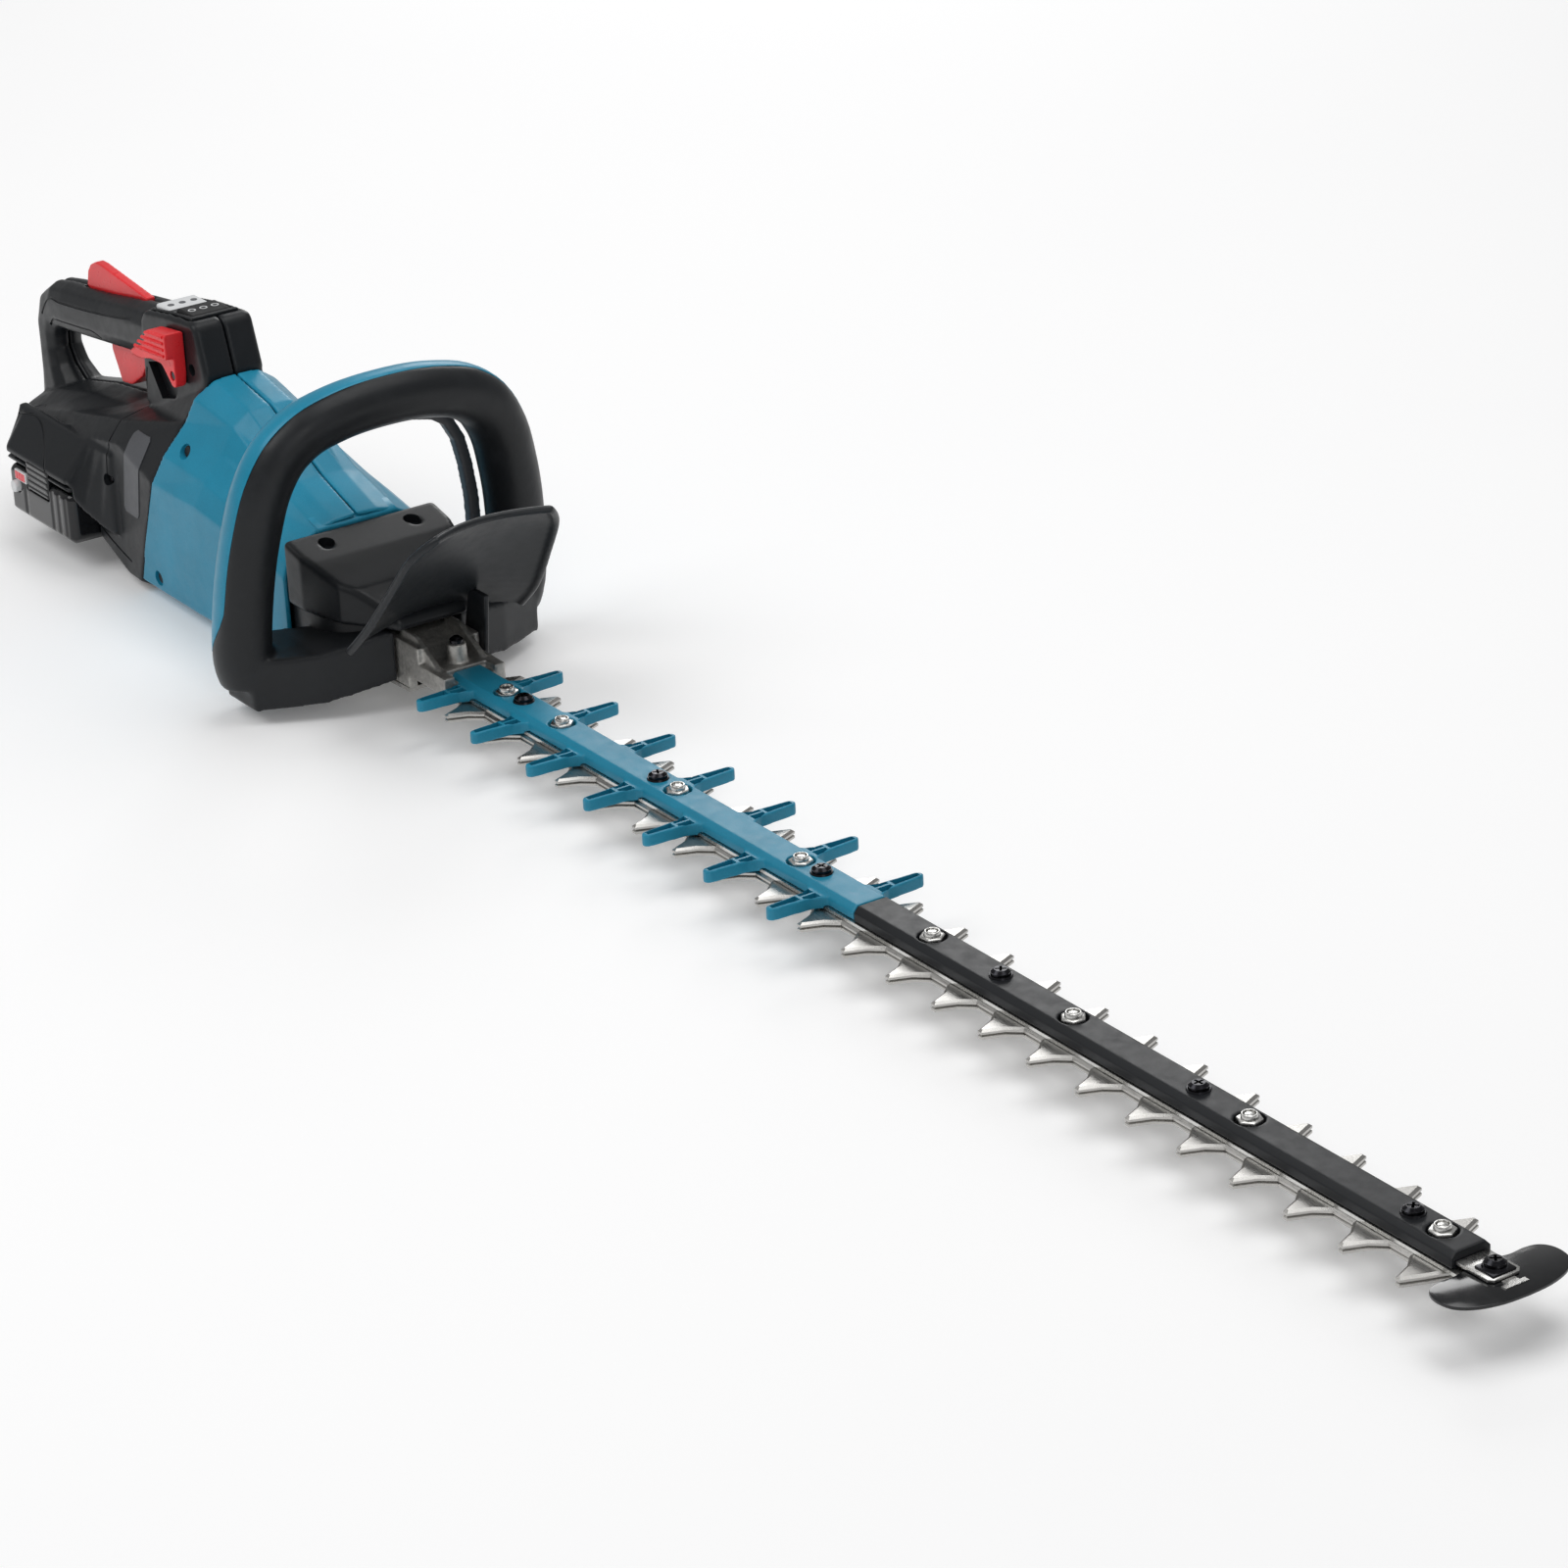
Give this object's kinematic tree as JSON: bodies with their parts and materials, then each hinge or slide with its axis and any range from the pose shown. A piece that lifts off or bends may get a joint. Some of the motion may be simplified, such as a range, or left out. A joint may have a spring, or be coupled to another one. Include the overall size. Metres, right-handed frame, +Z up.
{
  "type": "hedge trimmer",
  "caption": "Battery hedge trimmer with a double-sided cutter bar, comb guard, hoop front handle, hand guard and a turning D-shaped rear handle.",
  "frame": {"origin": "centre of the footprint at floor level, with the tool standing on the foot of its rear handle", "axes": "+X runs along the cutter bar to its tip, +Y points to the tool's left, +Z up"},
  "size_m": [1.2586, 0.1946, 0.1738],
  "materials": {
    "blade_steel": "ground, lightly worn",
    "zinc_steel": "zinc plated",
    "teal_plastic": "fine moulded grain",
    "black_plastic": "fine moulded grain",
    "guard_plastic": "semi matt, dark",
    "black_rubber": "soft overmould",
    "red_plastic": "satin moulded",
    "cast_alloy": "die cast",
    "gear_steel": "machined, oiled",
    "circuit_green": "lacquered board and wrapped cells"
  },
  "bodies": {
    "body": {"bar_cover": "black_plastic", "blade_bolt_1": "zinc_steel", "blade_bolt_2": "zinc_steel", "blade_bolt_3": "zinc_steel", "blade_bolt_4": "zinc_steel", "blade_bolt_5": "zinc_steel", "blade_bolt_6": "zinc_steel", "blade_bolt_7": "zinc_steel", "blade_bolt_8": "zinc_steel", "chip_guard": "teal_plastic", "controller": "circuit_green", "crank_bearing": "gear_steel", "front_grip": "black_rubber", "front_handle_back": "teal_plastic", "gear_case": "cast_alloy", "gear_case_lid": "cast_alloy", "gear_cover": "black_plastic", "guide_rail": "zinc_steel", "hand_guard": "guard_plastic", "housing_left": "teal_plastic", "housing_right": "teal_plastic", "lock_nut_1": "zinc_steel", "lock_nut_2": "zinc_steel", "lock_nut_3": "zinc_steel", "lock_nut_4": "zinc_steel", "lock_nut_5": "zinc_steel", "lock_nut_6": "zinc_steel", "lock_nut_7": "zinc_steel", "lock_nut_8": "zinc_steel", "motor_bearing": "gear_steel", "motor_stator": "gear_steel", "tip_clip": "blade_steel", "tip_guard": "black_plastic", "tip_screw": "zinc_steel"},
    "upper_blade": {"upper_blade": "blade_steel"},
    "lower_blade": {"lower_blade": "blade_steel"},
    "crank": {"crank_gear": "gear_steel"},
    "idler": {"idler_gear": "gear_steel"},
    "motor": {"motor_rotor": "gear_steel", "cooling_fan": "black_plastic"},
    "switch_lever": {"switch_lever": "black_plastic"},
    "rear_handle": {"rear_handle_left": "black_plastic", "rear_handle_right": "black_plastic", "swivel_ring": "gear_steel", "control_panel": "black_plastic", "trigger_switch": "gear_steel", "battery_terminal": "circuit_green"},
    "trigger": {"trigger": "red_plastic"},
    "palm_lever": {"palm_lever": "red_plastic"},
    "lock_lever": {"lock_lever": "red_plastic"},
    "power_button": {"power_button": "black_rubber"},
    "reverse_button": {"reverse_button": "black_rubber"},
    "battery": {"battery_case": "black_plastic", "battery_lid": "black_plastic", "cell_block": "circuit_green"},
    "battery_release": {"battery_release": "red_plastic"},
    "charge_button": {"charge_button": "zinc_steel"}
  },
  "joints": [
    {"name": "crank_turn", "type": "hinge", "parent": "body", "child": "crank", "pos_m": [-0.2631, 0, 0.0265], "axis": [0, 0, 1], "range_deg": [-90, 90]},
    {"name": "upper_blade_slide", "type": "slide", "parent": "body", "child": "upper_blade", "axis": [1, 0, 0], "range_m": [-0.00802, 0.00802]},
    {"name": "lower_blade_slide", "type": "slide", "parent": "body", "child": "lower_blade", "axis": [1, 0, 0], "range_m": [-0.00802, 0.00802]},
    {"name": "idler_turn", "type": "hinge", "parent": "body", "child": "idler", "pos_m": [-0.3171, 0, 0.0265], "axis": [0, 0, 1], "range_deg": [-180.5, 180.5]},
    {"name": "motor_spin", "type": "hinge", "parent": "body", "child": "motor", "pos_m": [-0.3431, 0, 0.0265], "axis": [0, 0, 1], "range_deg": [-406, 406]},
    {"name": "rear_handle_turn", "type": "hinge", "parent": "body", "child": "rear_handle", "pos_m": [-0.4279, 0, 0.0685], "axis": [0.9304, 0, -0.3665], "range_deg": [-90, 90]},
    {"name": "trigger_pull", "type": "hinge", "parent": "rear_handle", "child": "trigger", "pos_m": [-0.4951, 0, 0.12], "axis": [0, 1, 0], "range_deg": [0, 8], "stiffness_Nm_per_rad": 0.1, "springref_deg": -8.59},
    {"name": "palm_lever_press", "type": "hinge", "parent": "rear_handle", "child": "palm_lever", "pos_m": [-0.4996, 0, 0.1455], "axis": [0, -1, 0], "range_deg": [0, 6], "stiffness_Nm_per_rad": 0.12, "springref_deg": -6.88},
    {"name": "lock_lever_tilt", "type": "hinge", "parent": "rear_handle", "child": "lock_lever", "pos_m": [-0.4319, -0.024, 0.1328], "axis": [0, -1, 0], "range_deg": [0, 20], "stiffness_Nm_per_rad": 0.1, "springref_deg": -8.59},
    {"name": "power_button_press", "type": "slide", "parent": "rear_handle", "child": "power_button", "axis": [0, 0, -1], "range_m": [0, 0.001], "stiffness_N_per_m": 400, "springref_m": -0.0006},
    {"name": "reverse_button_press", "type": "slide", "parent": "rear_handle", "child": "reverse_button", "axis": [0, 0, -1], "range_m": [0, 0.001], "stiffness_N_per_m": 400, "springref_m": -0.0006},
    {"name": "battery_slide", "type": "slide", "parent": "rear_handle", "child": "battery", "axis": [0, -1, 0], "range_m": [0, 0.1]},
    {"name": "battery_release_press", "type": "slide", "parent": "battery", "child": "battery_release", "axis": [0, 1, 0], "range_m": [0, 0.003], "stiffness_N_per_m": 300, "springref_m": -0.001},
    {"name": "charge_button_press", "type": "slide", "parent": "battery", "child": "charge_button", "axis": [0, 1, 0], "range_m": [0, 0.0012], "stiffness_N_per_m": 300, "springref_m": -0.0006},
    {"name": "switch_lever_squeeze", "type": "hinge", "parent": "body", "child": "switch_lever", "pos_m": [-0.2784, 0, 0.0565], "axis": [0, 1, 0], "range_deg": [0, 4], "stiffness_Nm_per_rad": 0.4, "springref_deg": -6.88}
  ],
  "couplings": [
    {"joint": "upper_blade_slide", "follows": "crank_turn", "m_per_rad": -0.005093},
    {"joint": "lower_blade_slide", "follows": "crank_turn", "m_per_rad": 0.005093},
    {"joint": "idler_turn", "follows": "crank_turn", "ratio": -2},
    {"joint": "motor_spin", "follows": "crank_turn", "ratio": 4.5}
  ]
}
